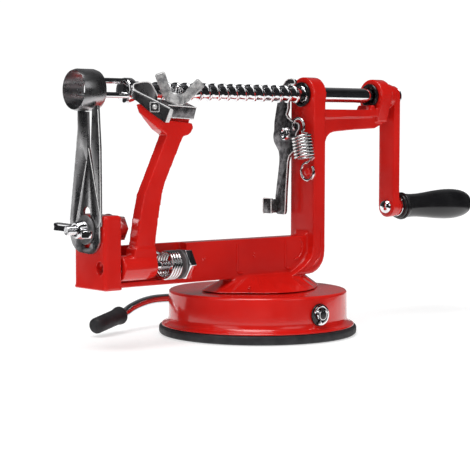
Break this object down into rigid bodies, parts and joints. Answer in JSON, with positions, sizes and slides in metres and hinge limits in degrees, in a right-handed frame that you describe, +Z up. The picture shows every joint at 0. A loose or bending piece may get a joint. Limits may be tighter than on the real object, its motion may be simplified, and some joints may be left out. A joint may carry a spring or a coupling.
{
  "type": "apple peeler corer",
  "caption": "Hand-cranked apple peeler, corer and slicer: threaded shaft with a fork, sprung peeling arm, coring ring blade and a lever-locked suction base.",
  "frame": {"origin": "centre of the suction pad's underside, on the table", "axes": "+Z up; +X along the drive shaft towards the crank, -X towards the slicing blade; -Y is the side the picture is taken from"},
  "size_m": [0.3006, 0.1149, 0.1423],
  "materials": {
    "red_enamel": "glossy red enamel over a casting",
    "chrome": "bright chrome plate",
    "brushed_steel": "satin steel",
    "spring_steel": "plated spring wire",
    "blade_steel": "ground stainless strip",
    "black_rubber": "matt black rubber",
    "black_plastic": "glossy black plastic"
  },
  "bodies": {
    "frame": {"frame_casting": "red_enamel", "suction_housing": "red_enamel", "suction_pad": "black_rubber", "base_screw_left": "chrome", "base_screw_right": "chrome", "lever_pivot_screw": "chrome", "lever_spacer": "brushed_steel", "lever_spring": "spring_steel", "arm_pivot_bolt": "chrome", "arm_pivot_washer": "brushed_steel", "arm_torsion_spring": "spring_steel", "slicing_bolt": "chrome", "slicing_washer": "brushed_steel"},
    "bushings": {"front_bushing": "black_plastic", "rear_bushing": "black_plastic"},
    "drive": {"drive_shaft": "chrome", "apple_fork": "chrome", "crank_arm": "red_enamel", "crank_screw": "chrome", "handle_bolt": "chrome", "handle_washer": "chrome"},
    "grip": {"handle_grip": "black_plastic"},
    "release": {"release_lever": "brushed_steel"},
    "arm": {"peeling_arm": "red_enamel", "blade_clamp": "chrome", "clamp_bolt": "chrome", "peeling_blade": "blade_steel"},
    "peeling_nut": {"peeling_wing_nut": "chrome"},
    "slicer": {"slicing_blade": "blade_steel", "coring_ring": "blade_steel"},
    "slicing_nut": {"slicing_wing_nut": "chrome"},
    "clamp_lever": {"suction_lever": "chrome", "lever_sleeve": "black_rubber", "retaining_clip": "chrome"},
    "plunger": {"pad_plunger": "brushed_steel"}
  },
  "joints": [
    {"name": "crank_turn", "type": "hinge", "parent": "frame", "child": "bushings", "pos_m": [0, 0, 0.1318], "axis": [1, 0, 0], "range_deg": [0, 6300]},
    {"name": "shaft_travel", "type": "slide", "parent": "bushings", "child": "drive", "axis": [1, 0, 0], "range_m": [0, 0.1112]},
    {"name": "grip_spin", "type": "hinge", "parent": "drive", "child": "grip", "pos_m": [0.14, 0, 0.0665], "axis": [1, 0, 0], "continuous": true},
    {"name": "release_pivot", "type": "hinge", "parent": "frame", "child": "release", "pos_m": [0.028, 0.0063, 0.1098], "axis": [1, 0, 0], "range_deg": [-15, 0], "stiffness_Nm_per_rad": 0.15, "springref_deg": 17.19, "deforming": ["lever_spring"]},
    {"name": "arm_swing", "type": "hinge", "parent": "frame", "child": "arm", "pos_m": [-0.088, -0.0086, 0.042], "axis": [1, 0, 0], "range_deg": [0, 40], "stiffness_Nm_per_rad": 0.2, "springref_deg": -28.65, "deforming": ["arm_torsion_spring"]},
    {"name": "peeling_nut_turn", "type": "hinge", "parent": "arm", "child": "peeling_nut", "pos_m": [-0.0696, -0.0142, 0.1254], "axis": [0.0501, -0.3008, 0.9524], "range_deg": [-8, 52]},
    {"name": "slicer_height", "type": "slide", "parent": "frame", "child": "slicer", "axis": [0, 0, 1], "range_m": [-0.003, 0.003]},
    {"name": "slicing_nut_turn", "type": "hinge", "parent": "frame", "child": "slicing_nut", "pos_m": [-0.12, 0, 0.0618], "axis": [1, 0, 0], "continuous": true},
    {"name": "suction_turn", "type": "hinge", "parent": "frame", "child": "clamp_lever", "pos_m": [0, 0, 0.0145], "axis": [0, 1, 0], "range_deg": [0, 180]},
    {"name": "plunger_lift", "type": "slide", "parent": "frame", "child": "plunger", "axis": [0, 0, 1], "range_m": [0, 0.00252]}
  ],
  "couplings": [
    {"joint": "shaft_travel", "follows": "crank_turn", "m_per_rad": 0.0010106},
    {"joint": "plunger_lift", "follows": "suction_turn", "m_per_rad": 0.00079577}
  ]
}
